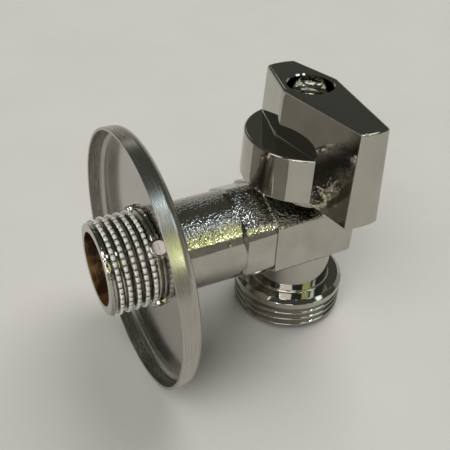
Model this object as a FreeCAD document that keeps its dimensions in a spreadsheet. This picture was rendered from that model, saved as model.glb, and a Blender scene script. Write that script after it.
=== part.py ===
import FreeCAD, Part
import math
import os
import re
import Sketcher
from FreeCAD import Placement, Rotation, Vector

# Washing machine valve: a quarter-turn angle ball valve with a wall flange.
# The inlet's axis is X, with its open end towards -X. The axis of the outlet, the stem and
# the handle is Z, with the outlet's end towards -Z. They cross at the origin, in the middle
# of the ball. The handle is shown closed, with its lever towards -Y.
# Lengths are in mm. Each "reach" or "level" is a distance from the origin along its axis.

SIZES = [
    # Inlet pipe and thread
    ("pipe_diameter", 20.0, "outside of the inlet pipe"),
    ("inlet_reach", 48.2, "outlet axis to the inlet's end"),
    ("inlet_thread_diameter", 20.955, "crests of the G1/2 thread"),
    ("inlet_thread_end", 39.1, "reach where the full crests end"),
    ("inlet_lead_diameter", 19.5, "rim of the inlet's end"),
    ("inlet_lead_length", 0.8, "length of the chamfer at the inlet's end"),
    ("runout_diameter", 20.5, "crests of the last, plain turn"),
    ("runout_end", 36.6, "reach where the last turn ends"),
    ("inlet_bore_diameter", 16.0, "bore of the inlet"),
    # Ribs that centre the escutcheon
    ("rib_count", 4, "ribs round the pipe"),
    ("rib_diameter", 22.2, "over the tops of two ribs"),
    ("rib_width", 3.0, "width of a rib"),
    ("rib_start", 39.0, "reach of a rib's inlet end"),
    ("rib_end", 33.4, "reach of a rib's head end"),
    ("rib_angle", 45.0, "turn of the first rib round the pipe"),
    # Spanner flats and head
    ("flat_count", 6, "spanner flats round the pipe"),
    ("flats_across", 19.0, "across two spanner flats"),
    ("flats_start", 18.0, "reach of the flats' inlet end"),
    ("head_across", 21.0, "across the flats of the head"),
    ("head_start", 11.0, "reach of the head's inlet end"),
    ("head_end", 9.8, "reach of the head's blind end, beyond the outlet axis"),
    ("head_corner_radius", 1.0, "rounding of the head's corners"),
    ("head_end_radius", 2.0, "rounding of the head's blind end"),
    # Outlet
    ("neck_diameter", 19.2, "outside of the outlet's neck"),
    ("shoulder_level", 16.0, "level of the thread's shoulder"),
    ("shoulder_diameter", 24.4, "flat of the shoulder, inside its chamfer"),
    ("shoulder_chamfer", 0.8, "length of the shoulder's chamfer"),
    ("outlet_reach", 24.5, "level of the outlet's end"),
    ("outlet_thread_diameter", 26.441, "crests of the G3/4 thread"),
    ("outlet_lead_diameter", 24.6, "rim of the outlet's end"),
    ("outlet_lead_length", 0.9, "length of the chamfer at the outlet's end"),
    ("neck_foot_radius", 0.6, "fillet between neck and shoulder"),
    ("outlet_bore_diameter", 15.0, "mouth of the outlet"),
    ("outlet_bore_level", 12.5, "level where the mouth ends"),
    ("passage_diameter", 10.0, "passage from the ball to the mouth"),
    # Ball, seats and retainer
    ("ball_diameter", 14.6, "ball"),
    ("port_diameter", 9.0, "both legs of the ball's port"),
    ("chamber_diameter", 15.2, "bore that holds ball and seats"),
    ("seat_reach", 7.8, "back faces of both seats"),
    ("seat_front", 4.3, "front faces of both seats"),
    ("seat_fit", 0.05, "radial clearance of a seat in the chamber"),
    ("running_fit", 0.05, "radial clearance of what turns or slides"),
    ("retainer_length", 4.2, "length of the retainer ring"),
    ("retainer_key", 10.0, "across the flats of the retainer's key hole"),
    ("thread_fit", 0.05, "radial clearance of a screwed piece"),
    # Stem and gland
    ("boss_diameter", 16.4, "boss on top of the head"),
    ("boss_top", 17.0, "level of the boss's top"),
    ("boss_chamfer", 0.6, "chamfer round the boss's top"),
    ("stem_diameter", 8.0, "stem below and above its collar"),
    ("collar_diameter", 12.4, "collar of the stem"),
    ("collar_length", 1.6, "thickness of the collar"),
    ("gland_bore_diameter", 14.0, "bore of the boss"),
    ("gland_bore_level", 9.6, "floor of the boss's bore"),
    ("washer_diameter", 13.4, "thrust washer and packing"),
    ("washer_bore_gap", 0.3, "radial gap of washer and packing on the stem"),
    ("washer_thickness", 0.8, "thrust washer"),
    ("packing_thickness", 1.2, "gland packing"),
    ("gland_nut_top", 17.4, "level of the gland nut's top"),
    ("nut_slot_width", 2.2, "slots of the gland nut"),
    ("nut_slot_depth", 1.4, "depth of the gland nut's slots"),
    ("tang_width", 4.0, "thickness of the stem's tang"),
    ("tang_level", 5.5, "level of the tang's end"),
    ("tang_sides", 2, "sides cut to make the tang"),
    ("tang_length", 1.95, "length of the tang"),
    ("tang_fit", 0.1, "clearance of the tang on each side"),
    ("ring_section", 1.3, "section of both O-rings"),
    ("ring_groove_length", 1.5, "grooves of both O-rings"),
    ("ring_squeeze", 0.02, "gap of an O-ring to its groove's floor"),
    ("ring_lower_level", 8.3, "middle of the lower O-ring"),
    ("ring_upper_level", 15.6, "middle of the upper O-ring"),
    # Stem top and its screw
    ("square_across", 6.0, "square on the stem's top"),
    ("square_sides", 4, "sides cut to make the square"),
    ("square_level", 18.0, "level where the square starts"),
    ("stem_top", 23.6, "level of the stem's top"),
    ("screw_diameter", 4.0, "handle screw, an M4"),
    ("screw_hole_depth", 7.0, "tapped hole in the stem"),
    ("screw_length", 9.0, "below the screw's head"),
    ("screw_head_diameter", 7.6, "head of the handle screw"),
    ("screw_head_height", 2.6, "height of the screw's head"),
    ("screw_dome_radius", 1.6, "crown of the screw's head"),
    ("screw_cross_length", 4.2, "across two arms of the cross recess"),
    ("screw_cross_width", 0.9, "width of the cross recess"),
    ("screw_cross_arms", 4, "arms of the cross recess"),
    ("screw_cross_depth", 1.6, "depth of the cross recess"),
    ("spring_washer_diameter", 7.0, "split washer"),
    ("spring_washer_thickness", 0.9, "split washer"),
    ("spring_washer_split", 0.5, "gap in the split washer"),
    # Stops
    ("stop_inner_radius", 8.6, "inside of the handle's stop"),
    ("stop_outer_radius", 9.8, "outside of the body's stops"),
    ("stop_angle", 24.0, "width of each stop"),
    ("stop_gap_angle", 2.0, "free turn before a stop meets"),
    ("stop_direction", 45.0, "direction of the handle's stop when closed"),
    ("quarter_turn", 90.0, "turn from closed to open"),
    ("body_stop_top", 15.5, "level of the body's stops"),
    ("handle_stop_bottom", 13.0, "level of the handle's stop"),
    # Handle
    ("handle_bottom", 12.2, "level of the handle's lower edge"),
    ("drum_top", 22.3, "level of the drum's top"),
    ("drum_top_diameter", 26.2, "drum at its top"),
    ("drum_bottom_diameter", 27.2, "drum at its lower edge"),
    ("lever_top", 32.9, "level of the lever's top"),
    ("lever_draft", 2.5, "draft of the lever's sides, in degrees"),
    ("lever_middle_width", 13.3, "lever across the stem's axis, at its top"),
    ("lever_front_width", 6.2, "lever's front end, at its top"),
    ("lever_front_reach", 22.1, "corners of the lever's front end"),
    ("lever_front_bulge", 22.5, "middle of the lever's front end"),
    ("lever_back_width", 6.8, "lever's back end, at its top"),
    ("lever_back_reach", 12.0, "corners of the lever's back end"),
    ("lever_back_bulge", 12.4, "middle of the lever's back end"),
    ("handle_edge_radius", 0.7, "rounding of the lever's edges"),
    ("drum_edge_radius", 0.5, "rounding of the drum's top edge"),
    ("skirt_diameter", 22.6, "hollow of the drum"),
    ("skirt_ceiling", 20.3, "level of the hollow's ceiling"),
    ("hub_diameter", 12.6, "hub that takes the stem's square"),
    ("hub_fit", 0.03, "clearance of the square in the hub, on each side"),
    ("web_top", 26.2, "level of the recess's floor"),
    ("web_bottom", 23.9, "level of the square hole's end"),
    ("recess_diameter", 9.6, "recess for the screw in the lever's top"),
    ("recess_chamfer", 0.3, "chamfer round the recess"),
    ("screw_hole_diameter", 4.4, "hole for the screw in the handle"),
    ("arm_wall", 2.3, "walls of the hollow lever"),
    ("arm_hollow_start", 8.6, "inner end of the lever's hollow"),
    # Escutcheon
    ("escutcheon_diameter", 56.3, "outside of the wall flange"),
    ("escutcheon_rim", 41.0, "reach of the flange's rim"),
    ("escutcheon_face", 36.6, "reach of the flange's face"),
    ("sheet_thickness", 0.6, "sheet of the wall flange"),
    ("escutcheon_bend_radius", 1.1, "outer bend between wall and face"),
]

NAMES = {name for name, number, meaning in SIZES}

doc = FreeCAD.newDocument("washing_machine_valve")
sheet = doc.addObject("Spreadsheet::Sheet", "Sizes")
for row, (name, number, meaning) in enumerate(SIZES, start=1):
    sheet.set(f"A{row}", meaning)
    sheet.set(f"B{row}", str(number))
    sheet.setAlias(f"B{row}", name)
doc.recompute()


def size(name):
    """A size from the sheet, as a number."""
    return float(sheet.get(name))


def bound(text):
    """The text of an expression, with each size's name pointing at its cell."""
    return re.sub(r"[a-z_]+", lambda m: "Sizes." + m.group() if m.group() in NAMES else m.group(), text)


def value(text):
    """What an expression comes to now."""
    return float(sheet.evalExpression(bound(text)))


def bind(feature, prop, text):
    feature.setExpression(prop, bound(text))


# Sketches and features

def plane(body, role):
    return next(item for item in body.Origin.OriginFeatures if item.Role == role)


def new_body(label):
    body = doc.addObject("PartDesign::Body", label)
    body.Label = label
    return body


def new_sketch(body, name, role, offset=None, axis=None, angle=None):
    """A sketch on one of the body's planes, moved out by offset or turned about a local axis."""
    sketch = body.newObject("Sketcher::SketchObject", name)
    sketch.AttachmentSupport = [(plane(body, role), "")]
    sketch.MapMode = "FlatFace"
    if axis:
        sketch.AttachmentOffset = Placement(Vector(), Rotation(axis, 1.0))
        bind(sketch, "AttachmentOffset.Rotation.Angle", angle)
    if offset:
        bind(sketch, "AttachmentOffset.Base.z", offset)
    return sketch


def constrain(sketch, kind, items, text):
    """Add a constraint with a value, bound to an expression."""
    index = sketch.addConstraint(Sketcher.Constraint(kind, *items, value(text)))
    bind(sketch, f"Constraints[{index}]", text)


def near_end(sketch, curve, place):
    """Which end of a curve lies at a place."""
    return 1 if sketch.getPoint(curve, 1).distanceToPoint(place) < 1e-6 else 2


def outline(sketch, corners, arcs=None):
    """A closed outline with its corners at pairs of expressions.

    arcs gives, for the side that starts at a corner, its middle and its radius.
    """
    count = len(corners)
    arcs = arcs or {}
    places = [Vector(value(across), value(along), 0) for across, along in corners]
    for i in range(count):
        start, end = places[i], places[(i + 1) % count]
        if i in arcs:
            middle = Vector(value(arcs[i][0][0]), value(arcs[i][0][1]), 0)
            sketch.addGeometry(Part.Arc(start, middle, end), False)
        else:
            sketch.addGeometry(Part.LineSegment(start, end), False)
    ends = [(near_end(sketch, i, places[i]), near_end(sketch, i, places[(i + 1) % count])) for i in range(count)]
    for i in range(count):
        after = (i + 1) % count
        sketch.addConstraint(Sketcher.Constraint("Coincident", i, ends[i][1], after, ends[after][0]))
        constrain(sketch, "DistanceX", (i, ends[i][0]), corners[i][0])
        constrain(sketch, "DistanceY", (i, ends[i][0]), corners[i][1])
    for i, (middle, radius) in arcs.items():
        constrain(sketch, "Radius", (i,), radius)


def rectangle(sketch, left, right, low, high):
    outline(sketch, [(left, low), (right, low), (right, high), (left, high)])


def slot(sketch, start, end, width):
    """A bar with round ends along the horizontal axis, from start to end."""
    half = value(width) / 2
    left, right = f"{start} + {width} / 2", f"{end} - {width} / 2"
    for text, side in ((left, -1), (right, 1)):
        middle = value(text)
        arc = sketch.addGeometry(Part.Arc(Vector(middle, -side * half, 0), Vector(middle + side * half, 0, 0),
                                          Vector(middle, side * half, 0)), False)
        sketch.addConstraint(Sketcher.Constraint("PointOnObject", arc, 3, -1))
        constrain(sketch, "DistanceX", (arc, 3), text)
        constrain(sketch, "Radius", (arc,), f"{width} / 2")
    for side in (-1, 1):
        places = [Vector(value(text), side * half, 0) for text in (left, right)]
        line = sketch.addGeometry(Part.LineSegment(*places), False)
        for i in (0, 1):
            sketch.addConstraint(Sketcher.Constraint("Tangent", line, i + 1, i, near_end(sketch, i, places[i])))


def circle(sketch, diameter):
    index = sketch.addGeometry(Part.Circle(Vector(), Vector(0, 0, 1), value(diameter) / 2), False)
    sketch.addConstraint(Sketcher.Constraint("Coincident", index, 3, -1, 1))
    constrain(sketch, "Diameter", (index,), diameter)


def extrude(body, kind, name, sketch, length, reverse=False, taper=None):
    feature = body.newObject(f"PartDesign::{kind}", name)
    feature.Profile = sketch
    feature.Reversed = reverse
    bind(feature, "Length", length)
    if taper:
        bind(feature, "TaperAngle", taper)
    return feature


def revolve(body, kind, name, sketch, axis, angle=None):
    feature = body.newObject(f"PartDesign::{kind}", name)
    feature.Profile = sketch
    feature.ReferenceAxis = (sketch, [axis])
    feature.Angle = 360.0
    if angle:
        bind(feature, "Angle", angle)
    return feature


def repeat(body, name, feature, axis, count):
    pattern = body.newObject("PartDesign::PolarPattern", name)
    pattern.Originals = [feature]
    pattern.Axis = (plane(body, axis), [""])
    pattern.Angle = 360.0
    bind(pattern, "Occurrences", count)
    body.Tip = pattern
    return pattern


def dress(body, kind, name, base, test, prop, text):
    """A fillet or chamfer on the edges of base that pass a test."""
    doc.recompute()
    names = [f"Edge{i}" for i, edge in enumerate(base.Shape.Edges, start=1) if test(edge)]
    feature = body.newObject(f"PartDesign::{kind}", name)
    feature.Base = (base, names)
    bind(feature, prop, text)
    return feature


def turned(body, kind, name, axis, corners):
    """A round feature about X (H_Axis) or Z (V_Axis), from its half section."""
    sketch = new_sketch(body, f"{name}_section", "XZ_Plane")
    outline(sketch, corners)
    return revolve(body, kind, name, sketch, axis)


# Simple solids

TURNS = {"x": Rotation(Vector(0, 1, 0), 90), "y": Rotation(Vector(1, 0, 0), -90), "z": Rotation()}


def cylinder(name, diameter, start, length, axis="z"):
    """A cylinder along an axis, from start for length."""
    solid = doc.addObject("Part::Cylinder", name)
    bind(solid, "Radius", f"({diameter}) / 2")
    bind(solid, "Height", length)
    solid.Placement.Rotation = TURNS[axis]
    bind(solid, f"Placement.Base.{axis}", start)
    return solid


def box(name, width, depth, height, level):
    """A box centred on Z, from level up."""
    solid = doc.addObject("Part::Box", name)
    bind(solid, "Length", width)
    bind(solid, "Width", depth)
    bind(solid, "Height", height)
    bind(solid, "Placement.Base.x", f"-({width}) / 2")
    bind(solid, "Placement.Base.y", f"-({depth}) / 2")
    bind(solid, "Placement.Base.z", level)
    return solid


def cut(label, base, tools):
    """base less every tool; the last step carries the label."""
    for i, tool in enumerate(tools, start=1):
        name = label if i == len(tools) else f"{label}_step_{i}"
        step = doc.addObject("Part::Cut", name)
        step.Base, step.Tool = base, tool
        base = step
    base.Label = label
    return base


def ring(label, outer, inner, start, length, axis="z"):
    """A plain ring, by its two diameters."""
    return cut(label, cylinder(f"{label}_outside", outer, start, length, axis),
               [cylinder(f"{label}_hole", inner, start, length, axis)])


# Body: one forging with both threads, the head, the boss and its stops

def radius_from_x(point):
    return math.hypot(point.y, point.z)


def all_points(edge, test):
    return all(test(vertex.Point) for vertex in edge.Vertexes)


def head_corner(edge):
    """One of the head's long corners."""
    spread = edge.BoundBox.XLength
    return spread > size("head_end") and all_points(edge, lambda p: radius_from_x(p) > size("head_across") / 2 + 0.5)


def head_end_edge(edge):
    return all_points(edge, lambda p: abs(p.x - size("head_end")) < 1e-4)


def neck_foot(edge):
    at_shoulder = all_points(edge, lambda p: abs(p.z + size("shoulder_level")) < 1e-4)
    return at_shoulder and abs(edge.BoundBox.XLength - size("neck_diameter")) < 1e-3


def make_stop(body, name, start, inner, outer, low, high):
    """A stop: a rectangle swept about Z from the direction start over the stop's angle."""
    sketch = new_sketch(body, f"{name}_section", "XZ_Plane", axis=Vector(0, 1, 0), angle=start)
    rectangle(sketch, inner, outer, low, high)
    return revolve(body, "Revolution", name, sketch, "V_Axis", "stop_angle")


def make_body():
    body = new_body("body")
    turned(body, "Revolution", "pipe", "H_Axis", [
        ("-inlet_reach", "0"),
        ("-inlet_reach", "inlet_lead_diameter / 2"),
        ("-inlet_reach + inlet_lead_length", "inlet_thread_diameter / 2"),
        ("-inlet_thread_end", "inlet_thread_diameter / 2"),
        ("-inlet_thread_end", "runout_diameter / 2"),
        ("-runout_end", "runout_diameter / 2"),
        ("-runout_end", "pipe_diameter / 2"),
        ("0", "pipe_diameter / 2"),
        ("0", "0"),
    ])

    sketch = new_sketch(body, "rib_shape", "XZ_Plane", axis=Vector(1, 0, 0), angle="rib_angle")
    slot(sketch, "-rib_start", "-rib_end", "rib_width")
    rib = extrude(body, "Pad", "rib", sketch, "rib_diameter / 2 + rib_width")
    repeat(body, "ribs", rib, "X_Axis", "rib_count")
    turned(body, "Groove", "rib_tops", "H_Axis", [
        ("-rib_start - rib_width", "rib_diameter / 2"),
        ("-rib_end + rib_width", "rib_diameter / 2"),
        ("-rib_end + rib_width", "rib_diameter"),
        ("-rib_start - rib_width", "rib_diameter"),
    ])

    sketch = new_sketch(body, "flat_shape", "XZ_Plane", offset="flats_across / 2")
    rectangle(sketch, "-flats_start", "-head_start", "-pipe_diameter / 2", "pipe_diameter / 2")
    flat = extrude(body, "Pocket", "flat", sketch, "pipe_diameter / 2", reverse=True)
    repeat(body, "flats", flat, "X_Axis", "flat_count")

    sketch = new_sketch(body, "head_shape", "YZ_Plane", offset="-head_start")
    corner = "head_across / 2 / cos(30)"
    outline(sketch, [(f"{corner} * cos({turn})", f"{corner} * sin({turn})") for turn in range(30, 390, 60)])
    head = extrude(body, "Pad", "head", sketch, "head_start + head_end")
    corners = dress(body, "Fillet", "head_corners", head, head_corner, "Radius", "head_corner_radius")
    dress(body, "Fillet", "head_end_round", corners, head_end_edge, "Radius", "head_end_radius")

    neck = turned(body, "Revolution", "neck", "V_Axis", [
        ("0", "0"),
        ("neck_diameter / 2", "0"),
        ("neck_diameter / 2", "-shoulder_level"),
        ("shoulder_diameter / 2", "-shoulder_level"),
        ("outlet_thread_diameter / 2", "-shoulder_level - shoulder_chamfer"),
        ("outlet_thread_diameter / 2", "-outlet_reach + outlet_lead_length"),
        ("outlet_lead_diameter / 2", "-outlet_reach"),
        ("0", "-outlet_reach"),
    ])
    dress(body, "Fillet", "neck_foot_round", neck, neck_foot, "Radius", "neck_foot_radius")

    turned(body, "Revolution", "boss", "V_Axis", [
        ("0", "0"),
        ("boss_diameter / 2", "0"),
        ("boss_diameter / 2", "boss_top - boss_chamfer"),
        ("boss_diameter / 2 - boss_chamfer", "boss_top"),
        ("0", "boss_top"),
    ])
    closed_stop = "stop_direction - 1.5 * stop_angle - stop_gap_angle"
    open_stop = "stop_direction + quarter_turn + 0.5 * stop_angle + stop_gap_angle"
    for name, start in (("closed_stop", closed_stop), ("open_stop", open_stop)):
        make_stop(body, name, start, "gland_bore_diameter / 2", "stop_outer_radius", "0", "body_stop_top")

    turned(body, "Groove", "inlet_bore", "H_Axis", [
        ("-inlet_reach - pipe_diameter", "0"),
        ("-inlet_reach - pipe_diameter", "inlet_bore_diameter / 2"),
        ("-seat_reach", "inlet_bore_diameter / 2"),
        ("-seat_reach", "chamber_diameter / 2"),
        ("seat_reach", "chamber_diameter / 2"),
        ("seat_reach", "0"),
    ])
    turned(body, "Groove", "outlet_bore", "V_Axis", [
        ("0", "0"),
        ("passage_diameter / 2", "0"),
        ("passage_diameter / 2", "-outlet_bore_level"),
        ("outlet_bore_diameter / 2", "-outlet_bore_level"),
        ("outlet_bore_diameter / 2", "-outlet_reach - neck_diameter"),
        ("0", "-outlet_reach - neck_diameter"),
    ])
    turned(body, "Groove", "stem_bore", "V_Axis", [
        ("0", "0"),
        ("stem_diameter / 2 + running_fit", "0"),
        ("stem_diameter / 2 + running_fit", "gland_bore_level"),
        ("gland_bore_diameter / 2", "gland_bore_level"),
        ("gland_bore_diameter / 2", "boss_top + boss_diameter"),
        ("0", "boss_top + boss_diameter"),
    ])
    return body


# Ball, seats and retainer

def make_ball():
    sphere = doc.addObject("Part::Sphere", "ball_sphere")
    bind(sphere, "Radius", "ball_diameter / 2")
    down = cylinder("ball_port_down", "port_diameter", "-ball_diameter", "ball_diameter")
    side = cylinder("ball_port_side", "port_diameter", "0", "ball_diameter", "y")
    elbow = doc.addObject("Part::Sphere", "ball_port_elbow")
    bind(elbow, "Radius", "port_diameter / 2")
    tang_slot = box("ball_slot", "2 * ball_diameter", "tang_width + 2 * tang_fit", "ball_diameter",
                    "tang_level - tang_fit")
    return cut("ball", sphere, [down, side, elbow, tang_slot])


def make_seat(label, start):
    outside = cylinder(f"{label}_outside", "chamber_diameter - 2 * seat_fit", start, "seat_reach - seat_front", "x")
    hole = cylinder(f"{label}_hole", "port_diameter", start, "seat_reach - seat_front", "x")
    face = doc.addObject("Part::Sphere", f"{label}_face")
    bind(face, "Radius", "ball_diameter / 2 + running_fit")
    return cut(label, outside, [hole, face])


def make_retainer():
    outside = cylinder("retainer_outside", "inlet_bore_diameter - 2 * thread_fit",
                       "-seat_reach - retainer_length", "retainer_length", "x")
    key = doc.addObject("Part::Prism", "retainer_key_hole")
    key.Polygon = 6
    bind(key, "Circumradius", "retainer_key / 2 / cos(30)")
    bind(key, "Height", "retainer_length")
    key.Placement.Rotation = TURNS["x"]
    bind(key, "Placement.Base.x", "-seat_reach - retainer_length")
    return cut("retainer_ring", outside, [key])


# Stem, its seals and its gland

COLLAR_BOTTOM = "gland_bore_level + washer_thickness"
COLLAR_TOP = f"{COLLAR_BOTTOM} + collar_length"
NUT_BOTTOM = f"{COLLAR_TOP} + packing_thickness"
GROOVE_RADIUS = "stem_diameter / 2 - ring_section - ring_squeeze"


def make_stem():
    body = new_body("stem")
    corners = [("0", "tang_level"), ("stem_diameter / 2", "tang_level")]
    for level in ("ring_lower_level", "ring_upper_level"):
        if level == "ring_upper_level":
            corners += [("stem_diameter / 2", COLLAR_BOTTOM), ("collar_diameter / 2", COLLAR_BOTTOM),
                        ("collar_diameter / 2", COLLAR_TOP), ("stem_diameter / 2", COLLAR_TOP)]
        low, high = f"{level} - ring_groove_length / 2", f"{level} + ring_groove_length / 2"
        corners += [("stem_diameter / 2", low), (GROOVE_RADIUS, low), (GROOVE_RADIUS, high),
                    ("stem_diameter / 2", high)]
    corners += [("stem_diameter / 2", "stem_top"), ("0", "stem_top")]
    turned(body, "Revolution", "shaft", "V_Axis", corners)

    sketch = new_sketch(body, "tang_side", "XY_Plane", offset="tang_level")
    rectangle(sketch, "-stem_diameter", "stem_diameter", "tang_width / 2", "stem_diameter")
    side = extrude(body, "Pocket", "tang_cut", sketch, "tang_length", reverse=True)
    repeat(body, "tang", side, "Z_Axis", "tang_sides")

    sketch = new_sketch(body, "square_side", "XY_Plane", offset="square_level")
    rectangle(sketch, "-stem_diameter", "stem_diameter", "square_across / 2", "stem_diameter")
    side = extrude(body, "Pocket", "square_cut", sketch, "stem_top", reverse=True)
    repeat(body, "square", side, "Z_Axis", "square_sides")

    sketch = new_sketch(body, "tapped_hole_shape", "XY_Plane", offset="stem_top")
    circle(sketch, "screw_diameter + 2 * thread_fit")
    extrude(body, "Pocket", "tapped_hole", sketch, "screw_hole_depth")
    return body


def make_stem_ring(label, level):
    torus = doc.addObject("Part::Torus", label)
    torus.Label = label
    bind(torus, "Radius1", "(stem_diameter - ring_section) / 2")
    bind(torus, "Radius2", "ring_section / 2")
    bind(torus, "Placement.Base.z", level)
    return torus


def make_gland_nut():
    height = f"gland_nut_top - ({NUT_BOTTOM})"
    outside = cylinder("gland_nut_outside", "gland_bore_diameter - 2 * thread_fit", NUT_BOTTOM, height)
    hole = cylinder("gland_nut_hole", "stem_diameter + 2 * running_fit", NUT_BOTTOM, height)
    level = "gland_nut_top - nut_slot_depth"
    slots = [box("gland_nut_slot_x", "gland_bore_diameter", "nut_slot_width", "nut_slot_depth", level),
             box("gland_nut_slot_y", "nut_slot_width", "gland_bore_diameter", "nut_slot_depth", level)]
    return cut("gland_nut", outside, [hole] + slots)


# Handle and its screw

def lever_outline(sketch):
    """The lever's six-sided plan at its top, with bulging ends."""
    corners = [("lever_back_width / 2", "lever_back_reach"), ("-lever_back_width / 2", "lever_back_reach"),
               ("-lever_middle_width / 2", "0"), ("-lever_front_width / 2", "-lever_front_reach"),
               ("lever_front_width / 2", "-lever_front_reach"), ("lever_middle_width / 2", "0")]
    arcs = {}
    for side, end, sign in ((0, "back", ""), (3, "front", "-")):
        rise = f"(lever_{end}_bulge - lever_{end}_reach)"
        radius = f"(lever_{end}_width ^ 2 / 4 + {rise} ^ 2) / (2 * {rise})"
        arcs[side] = (("0", f"{sign}lever_{end}_bulge"), radius)
    outline(sketch, corners, arcs)


def lever_edge(edge):
    """An edge of the lever's top, or one that runs down from it."""
    level = size("lever_top")
    return any(abs(vertex.Point.z - level) < 1e-4 for vertex in edge.Vertexes)


def drum_edge(edge):
    at_top = all_points(edge, lambda p: abs(p.z - size("drum_top")) < 1e-4)
    radius = size("drum_top_diameter") / 2
    return at_top and all_points(edge, lambda p: abs(math.hypot(p.x, p.y) - radius) < 1e-3) and \
        edge.Curve.TypeId == "Part::GeomCircle"


def recess_edge(edge):
    at_top = all_points(edge, lambda p: abs(p.z - size("lever_top")) < 1e-4)
    return at_top and abs(edge.BoundBox.XLength - size("recess_diameter")) < 1e-3


def make_handle():
    body = new_body("handle")
    turned(body, "Revolution", "drum", "V_Axis", [
        ("0", "handle_bottom"),
        ("drum_bottom_diameter / 2", "handle_bottom"),
        ("drum_top_diameter / 2", "drum_top"),
        ("0", "drum_top"),
    ])
    sketch = new_sketch(body, "lever_plan", "XY_Plane", offset="lever_top")
    lever_outline(sketch)
    lever = extrude(body, "Pad", "lever", sketch, "lever_top - handle_bottom", reverse=True, taper="lever_draft")
    edges = dress(body, "Fillet", "lever_edges", lever, lever_edge, "Radius", "handle_edge_radius")
    dress(body, "Fillet", "drum_edges", edges, drum_edge, "Radius", "drum_edge_radius")

    turned(body, "Groove", "skirt_hollow", "V_Axis", [
        ("0", "0"),
        ("skirt_diameter / 2", "0"),
        ("skirt_diameter / 2", "skirt_ceiling"),
        ("hub_diameter / 2", "skirt_ceiling"),
        ("hub_diameter / 2", "square_level"),
        ("0", "square_level"),
    ])
    narrowing = "(lever_middle_width - lever_front_width) / 2 / lever_front_reach"
    wide = f"lever_middle_width / 2 - {narrowing} * arm_hollow_start - arm_wall"
    narrow = f"lever_front_width / 2 + {narrowing} * arm_wall - arm_wall"
    sketch = new_sketch(body, "arm_hollow_shape", "XY_Plane", offset="handle_bottom")
    outline(sketch, [
        (wide, "-arm_hollow_start"),
        (f"-({wide})", "-arm_hollow_start"),
        (f"-({narrow})", "-lever_front_reach + arm_wall"),
        (narrow, "-lever_front_reach + arm_wall"),
    ])
    extrude(body, "Pocket", "arm_hollow", sketch, "lever_top - arm_wall - handle_bottom", reverse=True)
    make_stop(body, "handle_stop", "stop_direction - stop_angle / 2", "stop_inner_radius",
              "skirt_diameter / 2 + arm_wall / 2", "handle_stop_bottom", "skirt_ceiling + arm_wall / 2")

    sketch = new_sketch(body, "square_hole_shape", "XY_Plane", offset="square_level")
    half = "(square_across / 2 + hub_fit)"
    rectangle(sketch, f"-{half}", half, f"-{half}", half)
    extrude(body, "Pocket", "square_hole", sketch, "web_bottom - square_level", reverse=True)
    recess = turned(body, "Groove", "screw_recess", "V_Axis", [
        ("0", "web_bottom - screw_diameter"),
        ("screw_hole_diameter / 2", "web_bottom - screw_diameter"),
        ("screw_hole_diameter / 2", "web_top"),
        ("recess_diameter / 2", "web_top"),
        ("recess_diameter / 2", "lever_top + recess_diameter"),
        ("0", "lever_top + recess_diameter"),
    ])
    dress(body, "Chamfer", "recess_rim", recess, recess_edge, "Size", "recess_chamfer")
    return body


def screw_crown(edge):
    """The rim of the screw's head."""
    top = size("web_top") + size("spring_washer_thickness") + size("screw_head_height")
    return all_points(edge, lambda p: abs(p.z - top) < 1e-4) and edge.BoundBox.XLength > size("screw_diameter")


def make_screw():
    body = new_body("handle_screw")
    seat = "web_top + spring_washer_thickness"
    head = turned(body, "Revolution", "screw", "V_Axis", [
        ("0", f"{seat} - screw_length"),
        ("screw_diameter / 2 - thread_fit", f"{seat} - screw_length"),
        ("screw_diameter / 2", f"{seat} - screw_length + thread_fit"),
        ("screw_diameter / 2", seat),
        ("screw_head_diameter / 2", seat),
        ("screw_head_diameter / 2", f"{seat} + screw_head_height"),
        ("0", f"{seat} + screw_head_height"),
    ])
    dress(body, "Fillet", "screw_dome", head, screw_crown, "Radius", "screw_dome_radius")
    sketch = new_sketch(body, "cross_arm_shape", "XY_Plane", offset=f"{seat} + screw_head_height")
    rectangle(sketch, "-screw_cross_width / 2", "screw_cross_length / 2",
              "-screw_cross_width / 2", "screw_cross_width / 2")
    arm = extrude(body, "Pocket", "cross_arm", sketch, "screw_cross_depth")
    repeat(body, "cross", arm, "Z_Axis", "screw_cross_arms")
    return body


def make_spring_washer():
    outside = cylinder("spring_washer_outside", "spring_washer_diameter", "web_top", "spring_washer_thickness")
    hole = cylinder("spring_washer_hole", "screw_hole_diameter", "web_top", "spring_washer_thickness")
    split = box("spring_washer_gap", "spring_washer_split", "spring_washer_diameter", "spring_washer_thickness",
                "web_top")
    bind(split, "Placement.Base.y", "0")
    return cut("spring_washer", outside, [hole, split])


# Wall flange

def flange_bend(edge):
    """The outer and inner corner between the flange's wall and its face."""
    outer, inner = size("escutcheon_diameter"), size("escutcheon_diameter") - 2 * size("sheet_thickness")
    face, inside = -size("escutcheon_face"), -size("escutcheon_face") - size("sheet_thickness")
    width = edge.BoundBox.YLength
    return any(all_points(edge, lambda p: abs(p.x - place) < 1e-4) and abs(width - diameter) < 1e-3
               for diameter, place in ((outer, face), (inner, inside)))


def outer_bend(edge):
    return flange_bend(edge) and edge.BoundBox.YLength > size("escutcheon_diameter") - size("sheet_thickness")


def inner_bend(edge):
    return flange_bend(edge) and not outer_bend(edge)


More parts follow.
